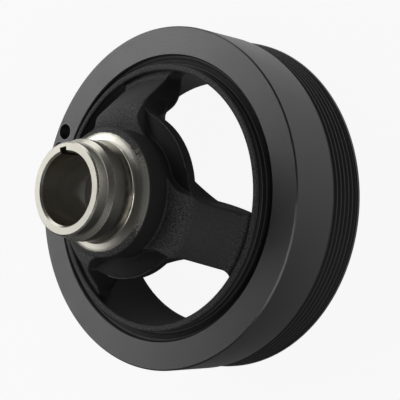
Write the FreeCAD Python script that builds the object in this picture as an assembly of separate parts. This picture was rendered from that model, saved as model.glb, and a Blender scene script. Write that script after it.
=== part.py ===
import FreeCAD, Part
import math
import os

from FreeCAD import Vector

# Crankshaft damper standing on its front face, with its axis along +Z through the origin.
# Heights are measured from the front face towards the engine. All sizes are millimetres.

# Radial build-up, from the inside of the hub's rim to the belt surface
rim_inner_radius = 70.1
rim_wall = 4.1
rubber_thickness = 4.8
ring_wall = 16.25

# Inertia ring
ring_width = 57.0
ring_edge_chamfer = 0.6

# Belt grooves in the ring, and the flange in front of them
groove_count = 6
groove_pitch = 3.56
first_groove_height = 4.7
groove_depth = 2.4
groove_root_width = 0.9
groove_angle = 40.0
rib_drop = 0.65
flange_width = 2.5
last_rib_width = 2.0

# Balance holes, drilled into the ring's engine face
balance_hole_radius = 4.75
balance_hole_depth = 12.0
balance_hole_inset = 9.5
balance_hole_angles = (145.4, 153.0)
drill_point_angle = 118.0

# Rubber ring, set back from the metal at both ends
rubber_engine_setback = 2.0
rubber_front_setback = 2.0
rubber_face_hollow = 0.7
rubber_lip_width = 0.6

# Rim of the hub
rim_front_height = 11.4
rim_proud = 4.5
rim_edge_chamfer = 0.6
rim_turned_depth = 0.4
rim_turned_length = 2.3

# Snout, from its engine end down to the shoulder
overall_height = 126.0
nose_radius = 24.2
nose_length = 7.1
nose_chamfer = 0.8
nose_step_drop = 1.8
seal_radius = 26.5
seal_length = 14.1
seal_edge_chamfer = 0.3
seal_foot_fillet = 1.5

# Shoulder at the snout's foot and the cast boss below it
shoulder_radius = 31.4
shoulder_drop = 1.4
boss_radius = 34.4
boss_edge_drop = 2.1
boss_edge_round = 0.6
boss_length = 34.0
boss_front_chamfer = 1.2

# Bore for the crankshaft's nose, its keyway, and the seat of the crankshaft bolt
bore_radius = 18.78
bore_length = 31.0
bore_mouth_chamfer = 1.0
keyway_width = 4.76
keyway_root_radius = 21.7
keyway_angle = 90.0
relief_past_keyway = 0.5
bolt_wall = 10.0
bolt_hole_radius = 10.5
bolt_seat_radius = 22.0
bolt_seat_depth = 4.0

# Spokes
spoke_count = 3
spoke_width = 31.6
spoke_top_below_boss = 13.0
spoke_top_above_web = 6.0
spoke_top_below_rim = 3.0
spoke_top_round = 14.0
spoke_cove_width = 5.1
spoke_cove_rise = 3.4
spoke_bottom_below_web = 7.3
spoke_depth_at_web = 22.7
spoke_depth_at_rim = 9.1
spoke_knee_offset = 10.0
spoke_knee_round = 20.0

# Windows between the spokes
window_inner_radius = 45.4
window_inner_fillet = 14.5
window_outer_fillet = 4.0

# Web between the spokes beside the boss, with the slope of the spokes' sides above and below it
web_drop = 17.1
web_thickness = 5.1
spoke_side_angle_above = 17.0
spoke_side_angle_below = 27.7
spoke_side_depth_below = 14.1
spoke_boss_fillet = 22.0
spoke_boss_fillet_sink = 0.5

# Lip along the web's free edge
lip_height = 1.1
lip_top_width = 0.5
lip_foot_width = 1.2
lip_half_angle = 21.0

# Places that follow from the sizes above
axis = Vector(0, 0, 1)
origin = Vector(0, 0, 0)
rim_outer_radius = rim_inner_radius + rim_wall
ring_inner_radius = rim_outer_radius + rubber_thickness
ring_outer_radius = ring_inner_radius + ring_wall
rim_back_height = ring_width + rim_proud
relief_radius = keyway_root_radius + relief_past_keyway
seal_top = overall_height - nose_length - nose_step_drop
seal_foot = seal_top - seal_length
shoulder_height = seal_foot - shoulder_drop
boss_top = shoulder_height - boss_edge_drop
boss_front = boss_top - boss_length
web_top = boss_top - web_drop
web_underside = web_top - web_thickness
spoke_side_bottom = web_underside - spoke_side_depth_below
spoke_top_at_boss = boss_top - spoke_top_below_boss
spoke_top_at_web = web_top + spoke_top_above_web
spoke_top_at_rim = rim_back_height - spoke_top_below_rim
spoke_bottom_at_boss = web_underside - spoke_bottom_below_web
spoke_bottom_at_web = spoke_top_at_web - spoke_depth_at_web
spoke_bottom_at_rim = spoke_top_at_rim - spoke_depth_at_rim


def on_section(radius, height, rounding=0):
    """A corner of a turned section, with the radius that rounds it."""
    return Vector(radius, 0, height), rounding


def turned(point, degrees):
    return FreeCAD.Rotation(axis, degrees).multVec(point)


def mirrored(point):
    return Vector(point.x, -point.y, point.z)


def rounded_wire(corners):
    """Closed outline through the corners, with a tangent arc at each one that has a rounding."""
    stretches = []
    for index, (corner, rounding) in enumerate(corners):
        if rounding == 0:
            stretches.append((corner, corner, corner))
            continue
        to_last = (corners[index - 1][0] - corner).normalize()
        to_next = (corners[(index + 1) % len(corners)][0] - corner).normalize()
        half_angle = to_last.getAngle(to_next) / 2
        reach = rounding / math.tan(half_angle)
        inwards = (to_last + to_next).normalize()
        middle = corner + inwards * (rounding / math.sin(half_angle) - rounding)
        stretches.append((corner + to_last * reach, middle, corner + to_next * reach))
    edges = []
    for index, (start, middle, end) in enumerate(stretches):
        if start != end:
            edges.append(Part.Arc(start, middle, end).toShape())
        next_start = stretches[(index + 1) % len(stretches)][0]
        edges.append(Part.LineSegment(end, next_start).toShape())
    return Part.Wire(edges)


def revolved(corners):
    return Part.Face(rounded_wire(corners)).revolve(origin, axis, 360)


def wire_of(curves):
    return Part.Wire([curve.toShape() for curve in curves])


def corner_arc(line_offset, circle_radius, fillet, side_of_line, side_of_circle):
    """Fillet between a line parallel to X and a circle about the axis: its start, middle and end.

    Each side is 1 where the fillet's centre lies beyond the line or the circle, and -1 where it doesn't.
    """
    across = line_offset + side_of_line * fillet
    centre_radius = circle_radius + side_of_circle * fillet
    centre = Vector(math.sqrt(centre_radius ** 2 - across ** 2), across, 0)
    on_line = Vector(centre.x, line_offset, 0)
    on_circle = centre * (circle_radius / centre_radius)
    middle = centre + (on_line + on_circle - centre * 2).normalize() * fillet
    return on_line, middle, on_circle


def make_core():
    """Snout, shoulder and boss, turned as one shape around the bore."""
    bore_end = overall_height - bore_length
    seat_height = boss_front + bolt_seat_depth
    relief_end = seat_height + bolt_wall
    core = revolved([
        on_section(bolt_seat_radius, boss_front),
        on_section(boss_radius - boss_front_chamfer, boss_front),
        on_section(boss_radius, boss_front + boss_front_chamfer),
        on_section(boss_radius, boss_top, boss_edge_round),
        on_section(shoulder_radius, shoulder_height),
        on_section(seal_radius, seal_foot, seal_foot_fillet),
        on_section(seal_radius, seal_top - seal_edge_chamfer),
        on_section(seal_radius - seal_edge_chamfer, seal_top),
        on_section(nose_radius, seal_top + nose_step_drop),
        on_section(nose_radius, overall_height - nose_chamfer),
        on_section(nose_radius - nose_chamfer, overall_height),
        on_section(bore_radius + bore_mouth_chamfer, overall_height),
        on_section(bore_radius, overall_height - bore_mouth_chamfer),
        on_section(bore_radius, bore_end),
        on_section(relief_radius, bore_end),
        on_section(relief_radius, relief_end),
        on_section(bolt_hole_radius, relief_end),
        on_section(bolt_hole_radius, seat_height),
        on_section(bolt_seat_radius, seat_height),
    ])
    keyway = Part.makeBox(keyway_root_radius, keyway_width, bore_length)
    keyway.translate(Vector(0, -keyway_width / 2, bore_end))
    keyway.rotate(origin, axis, keyway_angle)
    return core.cut(keyway)


def make_rim():
    turned_radius = rim_outer_radius - rim_turned_depth
    turned_height = rim_back_height - rim_turned_length
    chamfer_height = rim_back_height - rim_edge_chamfer
    return revolved([
        on_section(rim_inner_radius, rim_front_height),
        on_section(rim_outer_radius, rim_front_height),
        on_section(rim_outer_radius, turned_height),
        on_section(turned_radius, turned_height),
        on_section(turned_radius, chamfer_height),
        on_section(turned_radius - rim_edge_chamfer, rim_back_height),
        on_section(rim_inner_radius + rim_edge_chamfer, rim_back_height),
        on_section(rim_inner_radius, chamfer_height),
    ])


def make_spoke_disc():
    """The spokes' section turned all the way round, before the windows and pockets are cut from it."""
    inside_boss = (relief_radius + boss_radius) / 2
    inside_rim = rim_inner_radius + rim_wall / 2
    return revolved([
        on_section(inside_boss, spoke_bottom_at_boss),
        on_section(boss_radius, spoke_bottom_at_boss),
        on_section(window_inner_radius, spoke_bottom_at_web),
        on_section(window_inner_radius + spoke_knee_offset, spoke_bottom_at_rim, spoke_knee_round),
        on_section(inside_rim, spoke_bottom_at_rim),
        on_section(inside_rim, spoke_top_at_rim),
        on_section(rim_inner_radius, spoke_top_at_rim),
        on_section(rim_inner_radius - spoke_cove_width, spoke_top_at_rim + spoke_cove_rise),
        on_section(window_inner_radius, spoke_top_at_web, spoke_top_round),
        on_section(boss_radius, spoke_top_at_boss),
        on_section(inside_boss, spoke_top_at_boss),
    ])


def make_window(middle_angle):
    """The opening between two spokes, cut through the casting from front to back."""
    half_pitch = 180 / spoke_count
    half_spoke = spoke_width / 2
    inner_corner = corner_arc(half_spoke, window_inner_radius, window_inner_fillet, 1, 1)
    outer_corner = corner_arc(half_spoke, rim_inner_radius, window_outer_fillet, 1, -1)
    corners = [*inner_corner, *outer_corner]
    inner_1, fillet_1, side_1, side_2, fillet_2, outer_1 = [
        turned(point, middle_angle - half_pitch)
        for point in (corners[2], corners[1], corners[0], corners[3], corners[4], corners[5])
    ]
    inner_2, fillet_3, side_3, side_4, fillet_4, outer_2 = [
        turned(mirrored(point), middle_angle + half_pitch)
        for point in (corners[2], corners[1], corners[0], corners[3], corners[4], corners[5])
    ]
    inner_middle = turned(Vector(window_inner_radius, 0, 0), middle_angle)
    outer_middle = turned(Vector(rim_inner_radius, 0, 0), middle_angle)
    outline = wire_of([
        Part.Arc(inner_2, inner_middle, inner_1),
        Part.Arc(inner_1, fillet_1, side_1),
        Part.LineSegment(side_1, side_2),
        Part.Arc(side_2, fillet_2, outer_1),
        Part.Arc(outer_1, outer_middle, outer_2),
        Part.Arc(outer_2, fillet_4, side_4),
        Part.LineSegment(side_4, side_3),
        Part.Arc(side_3, fillet_3, inner_2),
    ])
    return Part.Face(outline).extrude(axis * overall_height)


def pocket_outline(middle_angle, height, side_offset):
    """Outline between two spokes at a height, its sides at an offset from the spokes' middle lines."""
    half_pitch = 180 / spoke_count
    foot_radius = boss_radius - spoke_boss_fillet_sink
    foot = corner_arc(side_offset, foot_radius, spoke_boss_fillet, 1, 1)
    far_end = Vector(window_inner_radius + window_inner_fillet, side_offset, 0)
    far_middle = turned(Vector(rim_inner_radius, 0, 0), middle_angle)
    side_1, fillet_1, boss_1, far_1 = [turned(point, middle_angle - half_pitch) for point in (*foot, far_end)]
    side_2, fillet_2, boss_2, far_2 = [
        turned(mirrored(point), middle_angle + half_pitch) for point in (*foot, far_end)
    ]
    outline = wire_of([
        Part.LineSegment(far_1, side_1),
        Part.Arc(side_1, fillet_1, boss_1),
        Part.LineSegment(boss_1, boss_2),
        Part.Arc(boss_2, fillet_2, side_2),
        Part.LineSegment(side_2, far_2),
        Part.LineSegment(far_2, far_middle),
        Part.LineSegment(far_middle, far_1),
    ])
    outline.translate(axis * height)
    return outline


def make_pocket(middle_angle, web_height, mouth_height, side_angle):
    """Recess between two spokes, as deep as the web, whose sides slope up to a height and then stand straight."""
    side_offset = spoke_width / 2
    depth = mouth_height - web_height
    slope = abs(depth) * math.tan(math.radians(side_angle))
    floor = pocket_outline(middle_angle, web_height, side_offset + slope)
    mouth = pocket_outline(middle_angle, mouth_height, side_offset)
    sloped = Part.makeLoft([floor, mouth], True, True)
    straight = Part.Face(mouth).extrude(axis * math.copysign(rim_back_height, depth))
    return sloped.fuse(straight)


def make_lip(middle_angle):
    web_middle = web_top - web_thickness / 2
    foot_radius = window_inner_radius - lip_foot_width
    section = rounded_wire([
        on_section(foot_radius, web_middle),
        on_section(window_inner_radius, web_middle),
        on_section(window_inner_radius, web_top + lip_height),
        on_section(window_inner_radius - lip_top_width, web_top + lip_height),
        on_section(foot_radius, web_top),
    ])
    section.rotate(origin, axis, middle_angle - lip_half_angle)
    return Part.Face(section).revolve(origin, axis, 2 * lip_half_angle)


def make_hub():
    cuts = []
    lips = []
    for number in range(spoke_count):
        middle_angle = keyway_angle + (number + 0.5) * 360 / spoke_count
        cuts.append(make_window(middle_angle))
        cuts.append(make_pocket(middle_angle, web_top, spoke_top_at_web, spoke_side_angle_above))
        cuts.append(make_pocket(middle_angle, web_underside, spoke_side_bottom, spoke_side_angle_below))
        lips.append(make_lip(middle_angle))
    spokes = make_spoke_disc().cut(cuts)
    return make_core().fuse([spokes, make_rim(), *lips]).removeSplitter()


def make_rubber_ring():
    front = rim_front_height + rubber_front_setback
    back = ring_width - rubber_engine_setback
    inner = rim_outer_radius
    outer = ring_inner_radius
    middle = (inner + outer) / 2
    inner_front, inner_back = Vector(inner, 0, front), Vector(inner, 0, back)
    outer_front, outer_back = Vector(outer, 0, front), Vector(outer, 0, back)
    to_lip = Vector(rubber_lip_width, 0, 0)
    front_middle = Vector(middle, 0, front + rubber_face_hollow)
    back_middle = Vector(middle, 0, back - rubber_face_hollow)
    section = wire_of([
        Part.LineSegment(inner_front, inner_front + to_lip),
        Part.Arc(inner_front + to_lip, front_middle, outer_front - to_lip),
        Part.LineSegment(outer_front - to_lip, outer_front),
        Part.LineSegment(outer_front, outer_back),
        Part.LineSegment(outer_back, outer_back - to_lip),
        Part.Arc(outer_back - to_lip, back_middle, inner_back + to_lip),
        Part.LineSegment(inner_back + to_lip, inner_back),
        Part.LineSegment(inner_back, inner_front),
    ])
    return Part.Face(section).revolve(origin, axis, 360)


def make_belt_surface():
    """Section corners of the ring's outer face, from the front flange to the smooth band."""
    tip_radius = ring_outer_radius - rib_drop
    root_radius = tip_radius - groove_depth
    half_root = groove_root_width / 2
    half_mouth = half_root + groove_depth * math.tan(math.radians(groove_angle / 2))
    corners = [on_section(ring_outer_radius, flange_width), on_section(tip_radius, flange_width)]
    for number in range(groove_count):
        centre = first_groove_height + number * groove_pitch
        corners.append(on_section(tip_radius, centre - half_mouth))
        corners.append(on_section(root_radius, centre - half_root))
        corners.append(on_section(root_radius, centre + half_root))
        corners.append(on_section(tip_radius, centre + half_mouth))
    band_start = first_groove_height + (groove_count - 1) * groove_pitch + half_mouth + last_rib_width
    corners.append(on_section(tip_radius, band_start))
    corners.append(on_section(ring_outer_radius, band_start))
    return corners


def make_balance_hole(angle):
    centre = turned(Vector(ring_inner_radius + balance_hole_inset, 0, ring_width - balance_hole_depth), angle)
    point_length = balance_hole_radius / math.tan(math.radians(drill_point_angle / 2))
    hole = Part.makeCylinder(balance_hole_radius, balance_hole_depth, centre)
    point = Part.makeCone(balance_hole_radius, 0, point_length, centre, axis * -1)
    return hole.fuse(point)


def make_inertia_ring():
    chamfer = ring_edge_chamfer
    ring = revolved([
        on_section(ring_inner_radius, chamfer),
        on_section(ring_inner_radius + chamfer, 0),
        on_section(ring_outer_radius - chamfer, 0),
        on_section(ring_outer_radius, chamfer),
        *make_belt_surface(),
        on_section(ring_outer_radius, ring_width - chamfer),
        on_section(ring_outer_radius - chamfer, ring_width),
        on_section(ring_inner_radius + chamfer, ring_width),
        on_section(ring_inner_radius, ring_width - chamfer),
    ])
    return ring.cut([make_balance_hole(angle) for angle in balance_hole_angles])


os.makedirs("parts", exist_ok=True)
nodes = {
    "hub": make_hub(),
    "rubber_ring": make_rubber_ring(),
    "inertia_ring": make_inertia_ring(),
}
for name, shape in nodes.items():
    shape.exportStep(f"parts/{name}.step")
    print(name, shape.isValid(), len(shape.Solids), round(shape.Volume / 1000, 2), "cm3")
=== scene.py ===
import bmesh
import bpy
import math

from mathutils import Matrix, Vector


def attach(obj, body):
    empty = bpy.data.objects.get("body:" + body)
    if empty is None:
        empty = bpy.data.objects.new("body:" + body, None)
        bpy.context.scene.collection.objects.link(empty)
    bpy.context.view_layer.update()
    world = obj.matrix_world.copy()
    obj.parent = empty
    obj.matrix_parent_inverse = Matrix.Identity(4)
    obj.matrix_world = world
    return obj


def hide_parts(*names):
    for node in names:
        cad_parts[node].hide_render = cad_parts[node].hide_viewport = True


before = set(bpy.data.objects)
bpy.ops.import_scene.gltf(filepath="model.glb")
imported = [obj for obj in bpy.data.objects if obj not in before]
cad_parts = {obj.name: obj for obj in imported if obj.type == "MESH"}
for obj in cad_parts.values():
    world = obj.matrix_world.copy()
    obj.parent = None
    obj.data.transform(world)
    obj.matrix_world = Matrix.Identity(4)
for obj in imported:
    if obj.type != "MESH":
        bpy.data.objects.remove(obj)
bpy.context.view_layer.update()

# Camera fitted to the photograph's coaxial circles: place in metres, lens and sensor in millimetres
CAMERA_PLACE = Vector((0.42862, -0.09059, 0.51911))
CAMERA_FORWARD = Vector((-0.64662, 0.13773, -0.7503))
CAMERA_UP = Vector((0.13891, 0.98839, 0.0617))
CAMERA_LENS = 103.5
CAMERA_SENSOR = 36.0

# A millimetre in metres
MM = 0.001

# Ring in millimetres and degrees, with heights from the front face up
RING_WIDTH = 57.0
RING_OUTER_RADIUS = 95.25
RING_INNER_RADIUS = 79.0
RING_EDGE_CHAMFER = 0.75
GROOVE_COUNT = 6
GROOVE_PITCH = 3.56
FIRST_GROOVE_HEIGHT = 4.7
GROOVE_DEPTH = 2.4
GROOVE_ROOT_WIDTH = 0.9
GROOVE_SLOPE = 20.0
GROOVE_EDGE_CUT = 0.12
GROOVES_END_HEIGHT = 27.0
RIB_TIP_RADIUS = 94.6
FLANGE_WIDTH = 2.5
LAST_RIB_WIDTH = 2.0
BALANCE_HOLE_RADIUS = 4.75
BALANCE_HOLE_DEPTH = 12.0
BALANCE_HOLE_CENTRE = 88.5
BALANCE_HOLE_ANGLES = (145.4, 153.0)
DRILL_POINT_LENGTH = 2.85

# Hub in millimetres, with heights from the front face up
RIM_OUTER_RADIUS = 74.2
# Height of a painted highlight line round the rim's wall
RIM_HIGHLIGHT_LINE_HEIGHT = 58.3
BOSS_TOP_HEIGHT = 99.5
SHOULDER_HEIGHT = 101.6
SEAL_FOOT_HEIGHT = 103.0
DARK_FOOT_TOP_HEIGHT = 109.5
RELIEF_TOP_HEIGHT = 95.0
RELIEF_RADIUS = 22.2
WEB_TOP_HEIGHT = 82.4
WEB_EDGE_RADIUS = 45.4
# Side to which the bare speckles are kept, where they stand in for a highlight
WORN_HIGHLIGHT_SIDE = math.radians(-8)

# How the meshes are made
RING_TURNS = 288
DRILL_SIDES = 48
RING_WELD = 0.001 * MM
SOLID_WELD = 0.002 * MM
FLAT_WITHIN = math.radians(0.35)
SHARP_EDGE = math.radians(28)
HUB_SMOOTH_UP_TO = math.radians(46)
RING_SMOOTH_UP_TO = math.radians(40)
HUB_EDGE_ROUND = 0.5 * MM
CAST_EDGE_ROUND = 2.0 * MM

# Colours of the finishes
COATED_IRON = (0.12, 0.12, 0.122)
GROOVED_IRON = (0.085, 0.085, 0.088)
DRILLED_IRON = (0.3, 0.293, 0.28)
RUBBER = (0.012, 0.012, 0.012)
DUSTY_RUBBER = (0.04, 0.039, 0.037)
# Paler rubber of painted sheen and highlight lines
PALE_RUBBER_HIGHLIGHT = (0.13, 0.128, 0.123)
PAINT = (0.022, 0.022, 0.0217)
# Greyer paint of the sand, also painted light on upward faces
SANDY_LIT_TOP_PAINT = (0.15, 0.15, 0.148)
# Blacker paint of painted shade on the floors of the pockets
POCKET_SHADE_PAINT = (0.01, 0.01, 0.0098)
# Paler paint of painted highlights along the edges
EDGE_HIGHLIGHT_PAINT = (0.09, 0.09, 0.089)
YELLOWED_STEEL = (0.62, 0.595, 0.5)
BRIGHT_STEEL = (0.76, 0.745, 0.685)
DARK_FOOT_STEEL = (0.1, 0.092, 0.072)
RELIEF_STEEL = (0.72, 0.715, 0.7)

# Roughness of the finishes, and what each state of the surface adds or takes
RING_ROUGHNESS = 0.28
RING_CLOUD_ROUGHER = 0.1
GROOVES_ROUGHER = 0.3
RUBBER_ROUGHNESS = 0.62
PAINT_ROUGHNESS = 0.46
SANDY_ROUGHER = 0.16
SMUDGE_ROUGHER = 0.08
RELIEF_ROUGHER = 0.2
BARE_SMOOTHER = 0.12
MACHINED_SMOOTHER = 0.2
RING_METALLIC = 0.85
RELIEF_LESS_METALLIC = 0.85
HUB_SPECULAR_LEVEL = 0.35

# Lamps, room and paper of the studio
LAMP_TARGET = Vector((0, 0, 0.05))
ROOM_COLOUR = (1, 1, 1, 1)
ROOM_AT_HORIZON = 0.06
ROOM_ABOVE = 0.11
ROOM_SHARE_TOWARDS_X = 0.6
ROOM_SHARE_OVERHEAD = 0.35
PAPER_COLOUR = (0.9, 0.9, 0.9, 1)
FLOOR_REACH = 6.0
FLOOR_SHOWN = 0.92
FLOOR_MIRRORED = 0.93
# The paper as shiny parts see it has painted shade: darker towards -Y, and a painted shadow under the ring
FLOOR_DARK_SIDE = 0.05
FLOOR_LIT_SIDE = 0.6
FLOOR_PAINTED_SHADOW_UNDER_RING = 0.3


class Field:
    """A value in a node tree, with plain arithmetic that adds the nodes it needs."""

    def __init__(self, tree, socket):
        self.tree = tree
        self.socket = socket

    def maths(self, operation, *others):
        return add_node(self.tree, "ShaderNodeMath", {"operation": operation}, self, *others)

    def maths_after(self, first, operation):
        return add_node(self.tree, "ShaderNodeMath", {"operation": operation}, first, self)

    def __add__(self, other):
        return self.maths("ADD", other)

    def __radd__(self, other):
        return self.maths("ADD", other)

    def __sub__(self, other):
        return self.maths("SUBTRACT", other)

    def __rsub__(self, other):
        return self.maths_after(other, "SUBTRACT")

    def __mul__(self, other):
        return self.maths("MULTIPLY", other)

    def __rmul__(self, other):
        return self.maths("MULTIPLY", other)

    def __truediv__(self, other):
        return self.maths("DIVIDE", other)

    def __rtruediv__(self, other):
        return self.maths_after(other, "DIVIDE")

    def __pow__(self, other):
        return self.maths("POWER", other)

    def __gt__(self, other):
        return self.maths("GREATER_THAN", other)

    def __lt__(self, other):
        return self.maths("LESS_THAN", other)

    def both(self, other):
        return self.maths("MULTIPLY", other)

    def either(self, other):
        return self.maths("MAXIMUM", other)

    def rises(self, start, end, low=0.0, high=1.0):
        """Goes smoothly from low to high while the field goes from start to end."""
        settings = {"interpolation_type": "SMOOTHSTEP"}
        return add_node(self.tree, "ShaderNodeMapRange", settings, self, start, end, low, high)

    def near(self, value, full, none):
        """1 where the field is within full of the value, and 0 where it is none or more away."""
        return (self - value).maths("ABSOLUTE").rises(none, full)


def fill(socket, value):
    """Links a field to the socket, or sets a plain value on it."""
    if isinstance(value, Field):
        value.tree.links.new(value.socket, socket)
    elif value is not None:
        socket.default_value = value


def add_node(tree, kind, settings, *inputs, output=0, **named_inputs):
    """Any node: its settings, its inputs in order or by name, and the output that it gives."""
    node = tree.nodes.new(kind)
    for name, value in settings.items():
        setattr(node, name, value)
    for socket, value in zip(node.inputs, inputs):
        fill(socket, value)
    for name, value in named_inputs.items():
        fill(node.inputs[name], value)
    return Field(tree, node.outputs[output])


def parts_of(vector):
    """The X, Y and Z of a vector."""
    node = add_node(vector.tree, "ShaderNodeSeparateXYZ", {}, vector).socket.node
    return [Field(vector.tree, socket) for socket in node.outputs]


def distance(x, y):
    return (x * x + y * y) ** 0.5


def mixed_colour(share, first, second):
    """The first colour where the share is 0, and the second where it is 1."""
    number_and_vector_inputs = [None] * 5
    ends = [value if isinstance(value, Field) else (*value, 1) for value in (first, second)]
    return add_node(share.tree, "ShaderNodeMix", {"data_type": "RGBA"},
                    share, *number_and_vector_inputs, *ends, output=2)


class Finish:
    """A material under construction: the place on the object, in millimetres, and the shader it feeds."""

    def __init__(self, name):
        self.material = bpy.data.materials.new(name)
        self.material.use_nodes = True
        self.tree = self.material.node_tree
        self.shader = self.tree.nodes["Principled BSDF"]
        place = add_node(self.tree, "ShaderNodeTexCoord", {}, output="Object")
        facing = Field(self.tree, place.socket.node.outputs["Normal"])
        self.place = self.vector("SCALE", place, Scale=1.0 / MM)
        self.x, self.y, self.height = parts_of(self.place)
        self.facing_up = parts_of(facing)[2]
        self.radius = distance(self.x, self.y)
        self.turning = self.y.maths("ARCTAN2", self.x)

    def vector(self, operation, *inputs, **named_inputs):
        settings = {"operation": operation}
        return add_node(self.tree, "ShaderNodeVectorMath", settings, *inputs, **named_inputs)

    def noise(self, grain, detail=2.0, place=None, roughness=0.5):
        """Noise between 0 and 1 whose grain is a size in millimetres."""
        return add_node(self.tree, "ShaderNodeTexNoise", {}, Vector=place or self.place,
                        Scale=1.0 / grain, Detail=detail, Roughness=roughness)

    def lathe_marks(self, grain, along=6.0):
        """Fine lines that run round the axis, on walls and faces alike, longer where along is lower."""
        across_faces = self.radius + self.height * 0.37
        across_walls = self.height - self.radius * 0.21
        place = add_node(self.tree, "ShaderNodeCombineXYZ", {},
                         across_faces, across_walls, self.turning * along)
        return self.noise(grain, place=place)

    def bump(self, height, depth, strength=1.0, under=None):
        """Bumps whose depth is in millimetres."""
        return add_node(self.tree, "ShaderNodeBump", {},
                        Height=height, Strength=strength, Distance=depth * MM, Normal=under)

    def feed(self, **inputs):
        """The finished material, with the named inputs of its shader filled."""
        for name, value in inputs.items():
            fill(self.shader.inputs[name.replace("_", " ")], value)
        return self.material


def linked_object(name, data):
    """A new object in the scene."""
    thing = bpy.data.objects.new(name, data)
    bpy.context.scene.collection.objects.link(thing)
    return thing


def camera_matrix():
    backwards = -CAMERA_FORWARD.normalized()
    right = CAMERA_UP.cross(backwards).normalized()
    up = backwards.cross(right)
    turn = Matrix((right, up, backwards)).transposed().to_4x4()
    return Matrix.Translation(CAMERA_PLACE) @ turn


def add_camera():
    data = bpy.data.cameras.new("camera")
    data.lens = CAMERA_LENS
    data.sensor_width = CAMERA_SENSOR
    data.clip_start = 0.05
    data.clip_end = 20.0
    camera = linked_object("camera", data)
    camera.matrix_world = camera_matrix()
    bpy.context.scene.camera = camera


def add_lamp(name, place, size, power):
    data = bpy.data.lights.new(name, "AREA")
    data.shape = "RECTANGLE"
    data.size, data.size_y = size
    data.energy = power
    lamp = linked_object(name, data)
    lamp.location = place
    lamp.rotation_mode = "QUATERNION"
    lamp.rotation_quaternion = (LAMP_TARGET - Vector(place)).to_track_quat("-Z", "Y")


def add_world():
    """A dim room, dimmer overhead and towards +X, and white to the camera."""
    world = bpy.data.worlds.new("studio")
    world.use_nodes = True
    tree = world.node_tree
    background = tree.nodes["Background"]
    x, _, up = parts_of(add_node(tree, "ShaderNodeTexCoord", {}, output="Generated"))
    room = up.rises(0.0, 0.4, ROOM_AT_HORIZON, ROOM_ABOVE)
    room = room * x.rises(0.1, 0.6, 1.0, ROOM_SHARE_TOWARDS_X)
    room = room * up.rises(0.65, 0.9, 1.0, ROOM_SHARE_OVERHEAD)
    camera = add_node(tree, "ShaderNodeLightPath", {}, output="Is Camera Ray")
    strength = room + camera * (1.0 - room)
    fill(background.inputs["Strength"], strength)
    fill(background.inputs["Color"], ROOM_COLOUR)
    bpy.context.scene.world = world


def floor_finish():
    """White paper that glows to the camera and to shiny parts, and keeps a part of the shadow.

    Shiny parts see it with painted shade: dimmer towards -Y, away from the lamps, and a painted shadow
    close to the axis.
    """
    material = bpy.data.materials.new("white_paper")
    material.use_nodes = True
    tree = material.node_tree
    tree.nodes.remove(tree.nodes["Principled BSDF"])
    path = tree.nodes.new("ShaderNodeLightPath")
    names = ("Is Camera Ray", "Is Glossy Ray", "Is Transmission Ray")
    camera, glossy, passing = [Field(tree, path.outputs[name]) for name in names]
    x, y, _ = parts_of(add_node(tree, "ShaderNodeTexCoord", {}, output="Object"))
    # Painted shade for shiny parts: a painted shadow close to the axis, and darker towards -Y
    under = distance(x, y).rises(0.06, 0.09, FLOOR_PAINTED_SHADOW_UNDER_RING, 1.0)
    mirrored_with_painted_shade = y.rises(-0.18, 0.1, FLOOR_DARK_SIDE, FLOOR_LIT_SIDE) * under
    brightness = mirrored_with_painted_shade.either(1.0 - glossy)
    glowing = (camera * FLOOR_SHOWN).either(glossy * FLOOR_MIRRORED).either(passing * FLOOR_SHOWN)
    paper = add_node(tree, "ShaderNodeBsdfDiffuse", {}, Color=PAPER_COLOUR)
    glow = add_node(tree, "ShaderNodeEmission", {}, Color=brightness, Strength=1.0)
    mixed = add_node(tree, "ShaderNodeMixShader", {}, glowing, paper, glow)
    fill(tree.nodes["Material Output"].inputs["Surface"], mixed)
    return material


def add_floor():
    mesh = bpy.data.meshes.new("floor")
    corners = [(x * FLOOR_REACH, y * FLOOR_REACH, 0) for x, y in ((-1, -1), (1, -1), (1, 1), (-1, 1))]
    mesh.from_pydata(corners, [], [(0, 1, 2, 3)])
    floor = linked_object("floor", mesh)
    mesh.materials.append(floor_finish())


def ring_finish():
    """Turned iron with a thin black coat: satin, with fine lines round the axis.

    It is blacker and rougher in the grooves, and bare in the drilled holes.
    """
    finish = Finish("turned_ring")
    lines = finish.lathe_marks(grain=0.35)
    cloud = finish.noise(grain=14.0, detail=3.0)
    grooves = finish.radius.rises(RIB_TIP_RADIUS + 0.3, RIB_TIP_RADIUS + 0.1)
    grooves = grooves.both(finish.radius > RING_INNER_RADIUS + 1.0)
    grooves = grooves.both(finish.height.rises(GROOVES_END_HEIGHT + 1.0, GROOVES_END_HEIGHT - 1.0))
    colour = mixed_colour(grooves, COATED_IRON, GROOVED_IRON)
    hole_bottom = RING_WIDTH - BALANCE_HOLE_DEPTH - DRILL_POINT_LENGTH
    for angle in BALANCE_HOLE_ANGLES:
        across = finish.x - BALANCE_HOLE_CENTRE * math.cos(math.radians(angle))
        along = finish.y - BALANCE_HOLE_CENTRE * math.sin(math.radians(angle))
        drilled = distance(across, along).rises(BALANCE_HOLE_RADIUS + 0.2, BALANCE_HOLE_RADIUS + 0.1)
        drilled = drilled.both(finish.height > hole_bottom - 1.0)
        colour = mixed_colour(drilled, colour, DRILLED_IRON)
    rough = RING_ROUGHNESS + cloud * RING_CLOUD_ROUGHER + grooves * GROOVES_ROUGHER
    marks = finish.bump(lines, depth=0.06)
    return finish.feed(Base_Color=colour, Metallic=RING_METALLIC, Roughness=rough, Normal=marks)


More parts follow.
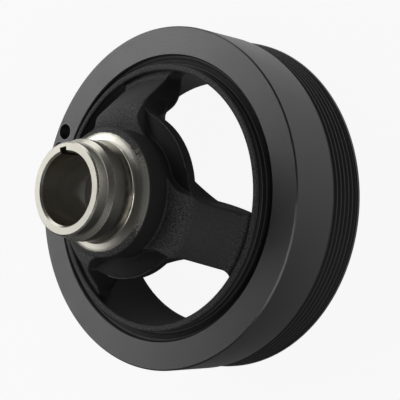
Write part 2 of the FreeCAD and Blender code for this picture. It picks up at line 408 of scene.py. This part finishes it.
def rubber_finish():
    """Dull black rubber with some dust in it, and painted sheen as a paler lip at either wall."""
    finish = Finish("black_rubber")
    pores = finish.noise(grain=0.7, detail=3.0)
    dust = finish.noise(grain=6.0, detail=4.0).rises(0.5, 0.8)
    colour = mixed_colour(dust * 0.5, RUBBER, DUSTY_RUBBER)
    # Painted sheen: paler rubber along either wall
    inner_lip_sheen = finish.radius.rises(RIM_OUTER_RADIUS + 0.7, RIM_OUTER_RADIUS + 0.5)
    outer_lip_sheen = finish.radius.rises(RING_INNER_RADIUS - 1.3, RING_INNER_RADIUS - 0.9)
    colour = mixed_colour(inner_lip_sheen.either(outer_lip_sheen), colour, PALE_RUBBER_HIGHLIGHT)
    bumps = finish.bump(pores, depth=0.1, strength=0.3)
    return finish.feed(Base_Color=colour, Roughness=RUBBER_ROUGHNESS, Normal=bumps)


def bare_outside(finish):
    """Where the snout is machined bare, and bare speckles at the boss's edge, kept to one side: paint wear
    that also stands in for a highlight there.
    """
    ragged = finish.noise(grain=2.2, detail=3.0) - 0.5
    snout = (finish.height + ragged * 0.5).rises(SHOULDER_HEIGHT - 0.15, SHOULDER_HEIGHT + 0.1)
    # The bare speckles are kept to one side, where they stand in for a highlight as well as wear
    away = (finish.turning - WORN_HIGHLIGHT_SIDE).maths("ABSOLUTE")
    speckles = finish.noise(grain=0.8, detail=3.0, roughness=0.7)
    worn_highlight = (speckles * 1.2 - away * 0.8).rises(0.0, 0.25)
    worn_highlight = worn_highlight.both(finish.height.rises(BOSS_TOP_HEIGHT, BOSS_TOP_HEIGHT + 0.4))
    return snout.either(worn_highlight * 0.55)


def paint_colour(finish, sandy_lit_top, shaded_pocket, soft_edges):
    """Black paint: greyer on rough sand and painted lighter on upward faces, with painted shade in the
    pockets and painted highlights along the edges.

    A pale line runs round the rim: a painted highlight.
    """
    grains = finish.noise(grain=0.8, detail=3.0, roughness=0.75).rises(0.4, 0.62)
    # Painted light: upward faces are greyer, along with the sand grain
    paint = mixed_colour(sandy_lit_top.both(0.15 + grains * 0.85), PAINT, SANDY_LIT_TOP_PAINT)
    paint = mixed_colour(shaded_pocket, paint, POCKET_SHADE_PAINT)
    facing = add_node(finish.tree, "ShaderNodeNewGeometry", {}, output="Normal")
    # Painted highlight: paler paint along every edge, convex and concave alike
    edges = 1.0 - finish.vector("DOT_PRODUCT", soft_edges, facing, output=1)
    paint = mixed_colour(edges.rises(0.04, 0.25) * 0.6, paint, EDGE_HIGHLIGHT_PAINT)
    # Painted highlight: a pale line round the rim's wall
    rim_highlight_line = finish.height.near(RIM_HIGHLIGHT_LINE_HEIGHT, 0.3, 0.45)
    rim_highlight_line = rim_highlight_line.both(finish.radius > RIM_OUTER_RADIUS - 0.1)
    return mixed_colour(rim_highlight_line, paint, PALE_RUBBER_HIGHLIGHT)


def steel_colour(finish, bore, relief):
    """Bare steel: uneven, dark in patches at the foot of the seal surface, greyer from the relief down."""
    tarnish = finish.noise(grain=20.0, detail=3.0)
    steel = mixed_colour(tarnish, YELLOWED_STEEL, BRIGHT_STEEL)
    patches = finish.noise(grain=5.0, detail=3.0).rises(0.2, 0.7, 0.55, 0.85)
    # Dark in patches at the foot of the seal surface
    dark_foot = finish.height.rises(DARK_FOOT_TOP_HEIGHT + 1.5, DARK_FOOT_TOP_HEIGHT - 1.5)
    dark_foot = dark_foot.both(finish.height > SEAL_FOOT_HEIGHT + 0.9)
    steel = mixed_colour((dark_foot * patches).both(1.0 - bore), steel, DARK_FOOT_STEEL)
    return mixed_colour(relief, steel, RELIEF_STEEL)


def hub_finish():
    """Black painted sand casting, left bare and machined from the shoulder up and in the bore."""
    finish = Finish("painted_casting")
    height, radius = finish.height, finish.radius
    bore = (RELIEF_RADIUS + 0.2 - radius).rises(-0.05, 0.05)
    relief = (RELIEF_TOP_HEIGHT + 0.1 - height).rises(0.0, 0.2).both(bore)
    bare = bare_outside(finish).either(bore)
    machined = height.rises(SEAL_FOOT_HEIGHT - 2.4, SEAL_FOOT_HEIGHT - 1.2).either(bore)
    # Painted shade: the floors of the pockets get blacker paint
    shaded_pocket = height.near(WEB_TOP_HEIGHT, 0.6, 1.0)
    shaded_pocket = shaded_pocket.both(radius.rises(WEB_EDGE_RADIUS + 1.5, WEB_EDGE_RADIUS + 0.5))
    # Upward faces: sand grain and painted light from above
    sandy_lit_top = finish.facing_up.rises(0.5, 0.9).both(1.0 - shaded_pocket)
    sand = finish.noise(grain=0.9, detail=4.0, roughness=0.7)
    waves = finish.noise(grain=9.0)
    soft_edges = add_node(finish.tree, "ShaderNodeBevel", {"samples": 8}, CAST_EDGE_ROUND)
    cast_height = (sand + waves * 1.2) * (0.25 + sandy_lit_top * 0.75)
    cast_bumps = finish.bump(cast_height, depth=0.22, under=soft_edges)
    turned_bumps = finish.bump(finish.lathe_marks(grain=0.3, along=1.5), depth=0.012)
    cast_share = finish.vector("SCALE", cast_bumps, Scale=1.0 - machined)
    turned_share = finish.vector("SCALE", turned_bumps, Scale=machined)
    normal = finish.vector("NORMALIZE", finish.vector("ADD", cast_share, turned_share))
    paint = paint_colour(finish, sandy_lit_top, shaded_pocket, soft_edges)
    steel = steel_colour(finish, bore, relief)
    smudges = finish.noise(grain=1.5, detail=3.0)
    rough = PAINT_ROUGHNESS - bare * BARE_SMOOTHER - machined * MACHINED_SMOOTHER
    rough = rough + smudges * SMUDGE_ROUGHER + relief * RELIEF_ROUGHER + (sandy_lit_top + shaded_pocket) * SANDY_ROUGHER
    metallic = bare - relief * RELIEF_LESS_METALLIC
    return finish.feed(Base_Color=mixed_colour(bare, paint, steel), Metallic=metallic,
                       Roughness=rough, Normal=normal, Specular_IOR_Level=HUB_SPECULAR_LEVEL)


def applied(piece):
    """Makes the piece's modifiers part of its mesh."""
    graph = bpy.context.evaluated_depsgraph_get()
    mesh = bpy.data.meshes.new_from_object(piece.evaluated_get(graph))
    mesh.name = piece.name
    piece.modifiers.clear()
    piece.data = mesh


def smoothed(piece, angle):
    """Smooth shading in which the wide faces stay flat and only the small ones at the edges turn."""
    mesh = piece.data
    mesh.polygons.foreach_set("use_smooth", [True] * len(mesh.polygons))
    mesh.set_sharp_from_angle(angle=angle)
    weights = piece.modifiers.new("weights", "WEIGHTED_NORMAL")
    weights.weight = 100
    weights.keep_sharp = True
    applied(piece)


def copied_node(node_name, piece_name):
    """A copy of a CAD solid as a clean mesh, with its coplanar triangles joined."""
    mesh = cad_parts[node_name].data.copy()
    mesh.name = piece_name
    work = bmesh.new()
    work.from_mesh(mesh)
    bmesh.ops.remove_doubles(work, verts=work.verts, dist=SOLID_WELD)
    bmesh.ops.dissolve_limit(work, angle_limit=FLAT_WITHIN, verts=work.verts, edges=work.edges)
    work.to_mesh(mesh)
    work.free()
    return linked_object(piece_name, mesh)


def make_hub():
    """The casting with its edges rounded."""
    piece = copied_node("hub", "hub_casting")
    rounding = piece.modifiers.new("edges", "BEVEL")
    rounding.width = HUB_EDGE_ROUND
    rounding.segments = 2
    rounding.limit_method = "ANGLE"
    rounding.angle_limit = SHARP_EDGE
    rounding.miter_outer = "MITER_ARC"
    applied(piece)
    smoothed(piece, HUB_SMOOTH_UP_TO)
    piece.data.materials.clear()
    piece.data.materials.append(hub_finish())
    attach(piece, "root")
    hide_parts("hub")


def ring_corners():
    """Radius and height of each sharp corner of the ring's section, going round it once."""
    half_root = GROOVE_ROOT_WIDTH / 2
    half_mouth = half_root + GROOVE_DEPTH * math.tan(math.radians(GROOVE_SLOPE))
    root_radius = RIB_TIP_RADIUS - GROOVE_DEPTH
    corners = [(RING_OUTER_RADIUS, FLANGE_WIDTH), (RIB_TIP_RADIUS, FLANGE_WIDTH)]
    for number in range(GROOVE_COUNT):
        centre = FIRST_GROOVE_HEIGHT + number * GROOVE_PITCH
        corners += [
            (RIB_TIP_RADIUS, centre - half_mouth),
            (root_radius, centre - half_root),
            (root_radius, centre + half_root),
            (RIB_TIP_RADIUS, centre + half_mouth),
        ]
    last_groove_end = FIRST_GROOVE_HEIGHT + (GROOVE_COUNT - 1) * GROOVE_PITCH + half_mouth
    band_start = last_groove_end + LAST_RIB_WIDTH
    corners += [(RIB_TIP_RADIUS, band_start), (RING_OUTER_RADIUS, band_start)]
    corners += [(RING_OUTER_RADIUS, RING_WIDTH), (RING_INNER_RADIUS, RING_WIDTH)]
    corners += [(RING_INNER_RADIUS, 0.0), (RING_OUTER_RADIUS, 0.0)]
    return corners


def ring_section():
    """The ring's section with its faces' edges chamfered and its other corners slightly rounded."""
    corners = [Vector(corner) for corner in ring_corners()]
    section = []
    for index, corner in enumerate(corners):
        last = corners[index - 1]
        following = corners[(index + 1) % len(corners)]
        chamfered = corner.y in (0.0, RING_WIDTH)
        reach = RING_EDGE_CHAMFER if chamfered else GROOVE_EDGE_CUT
        start = corner + (last - corner).normalized() * reach
        end = corner + (following - corner).normalized() * reach
        middle = (start + end + corner * 2) / 4
        section += [start, end] if chamfered else [start, middle, end]
    return section


def lathe_tree():
    """Geometry nodes that turn a section round the axis and drill two holes into the ring."""
    tree = bpy.data.node_groups.new("turned_ring", "GeometryNodeTree")
    first_angle, second_angle = [math.radians(angle) for angle in BALANCE_HOLE_ANGLES]
    inputs = (
        ("Section", "Geometry", None),
        ("Turns", "Int", RING_TURNS),
        ("Section points", "Int", None),
        ("Hole radius", "Float", BALANCE_HOLE_RADIUS * MM),
        ("Hole depth", "Float", BALANCE_HOLE_DEPTH * MM),
        ("Hole centre", "Float", BALANCE_HOLE_CENTRE * MM),
        ("Drilled face", "Float", RING_WIDTH * MM),
        ("Point length", "Float", DRILL_POINT_LENGTH * MM),
        ("First hole angle", "Float", first_angle),
        ("Second hole angle", "Float", second_angle),
        ("Finish", "Material", None),
    )
    for name, kind, value in inputs:
        socket = tree.interface.new_socket(name, in_out="INPUT", socket_type="NodeSocket" + kind)
        if value is not None:
            socket.default_value = value
    tree.interface.new_socket("Ring", in_out="OUTPUT", socket_type="NodeSocketGeometry")
    result = tree.nodes.new("NodeGroupOutput")
    size = {socket.name: Field(tree, socket) for socket in tree.nodes.new("NodeGroupInput").outputs}
    drilled = add_node(tree, "GeometryNodeMeshBoolean", {"operation": "DIFFERENCE"})
    fill(drilled.socket.node.inputs["Mesh 1"], turned_mesh(tree, size))
    fill(drilled.socket.node.inputs["Mesh 2"], placed_drills(tree, size))
    real = add_node(tree, "GeometryNodeRealizeInstances", {}, drilled)
    finished = add_node(tree, "GeometryNodeSetMaterial", {}, Geometry=real, Material=size["Finish"])
    fill(result.inputs["Ring"], finished)
    return tree


def turned_about_axis(tree, vector, angle):
    settings = {"rotation_type": "AXIS_ANGLE"}
    return add_node(tree, "ShaderNodeVectorRotate", settings, Vector=vector, Axis=(0, 0, 1), Angle=angle)


def turned_mesh(tree, size):
    """A grid whose rows are copies of the section, each turned a step further, and welded shut."""
    turns, points = size["Turns"], size["Section points"]
    sheet = add_node(tree, "GeometryNodeMeshGrid", {}, None, None, turns + 1, points + 1)
    index = add_node(tree, "GeometryNodeInputIndex", {})
    turn = (index / (points + 1)).maths("FLOOR")
    on_section = (index - turn * (points + 1)).maths("MODULO", points)
    corner = add_node(tree, "GeometryNodeSampleIndex", {"data_type": "FLOAT_VECTOR"},
                      Geometry=size["Section"], Index=on_section,
                      Value=add_node(tree, "GeometryNodeInputPosition", {}))
    placed = turned_about_axis(tree, corner, turn * (2 * math.pi) / turns)
    ring = add_node(tree, "GeometryNodeSetPosition", {}, Geometry=sheet, Position=placed)
    return add_node(tree, "GeometryNodeMergeByDistance", {}, Geometry=ring, Distance=RING_WELD)


def placed_drills(tree, size):
    """A drill with its conical point, at both balance holes."""
    radius, depth, length = size["Hole radius"], size["Hole depth"], size["Point length"]
    shank = add_node(tree, "GeometryNodeMeshCylinder", {},
                     Vertices=DRILL_SIDES, Radius=radius, Depth=depth * 2)
    tip = add_node(tree, "GeometryNodeMeshCone", {}, DRILL_SIDES, None, None, None, radius, length)
    below_face = add_node(tree, "ShaderNodeCombineXYZ", {}, Z=-1.0 * (depth + length))
    tip = add_node(tree, "GeometryNodeTransform", {}, Geometry=tip, Translation=below_face)
    drill = add_node(tree, "GeometryNodeMeshBoolean", {"operation": "UNION"})
    for part in (shank, tip):
        fill(drill.socket.node.inputs["Mesh 2"], part)
    drills = tree.nodes.new("GeometryNodeJoinGeometry")
    for name in ("Second hole angle", "First hole angle"):
        on_face = add_node(tree, "ShaderNodeCombineXYZ", {}, X=size["Hole centre"], Z=size["Drilled face"])
        spot = turned_about_axis(tree, on_face, size[name])
        moved = add_node(tree, "GeometryNodeTransform", {}, Geometry=drill, Translation=spot)
        fill(drills.inputs["Geometry"], moved)
    return Field(tree, drills.outputs[0])


def make_ring():
    """The inertia ring turned from its section."""
    section = ring_section()
    mesh = bpy.data.meshes.new("ring_section")
    mesh.from_pydata([(point.x * MM, 0, point.y * MM) for point in section], [], [])
    piece = linked_object("ring_turned", mesh)
    lathe = piece.modifiers.new("lathe", "NODES")
    lathe.node_group = lathe_tree()
    sockets = {item.name: item.identifier for item in lathe.node_group.interface.items_tree}
    lathe[sockets["Section points"]] = len(section)
    lathe[sockets["Finish"]] = ring_finish()
    applied(piece)
    work = bmesh.new()
    work.from_mesh(piece.data)
    bmesh.ops.recalc_face_normals(work, faces=work.faces)
    work.to_mesh(piece.data)
    work.free()
    smoothed(piece, RING_SMOOTH_UP_TO)
    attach(piece, "root")
    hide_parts("inertia_ring")


def dress_rubber():
    """The CAD solid of the rubber with its own finish."""
    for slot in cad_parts["rubber_ring"].material_slots:
        slot.material = rubber_finish()


add_camera()
add_floor()
add_world()
bpy.context.scene.view_settings.view_transform = "Standard"
add_lamp("softbox_far", place=(-1.09, 0.22, 0.88), size=(1.7, 0.52), power=4.2)
add_lamp("softbox_left", place=(-0.83, 0.75, 1.004), size=(0.62, 0.85), power=2.4)
add_lamp("softbox_top", place=(-0.35, 1.3, 0.5), size=(1.0, 0.6), power=2.4)
add_lamp("softbox_near", place=(0.9, -0.75, 0.56), size=(1.3, 0.6), power=3.6)
make_hub()
make_ring()
dress_rubber()
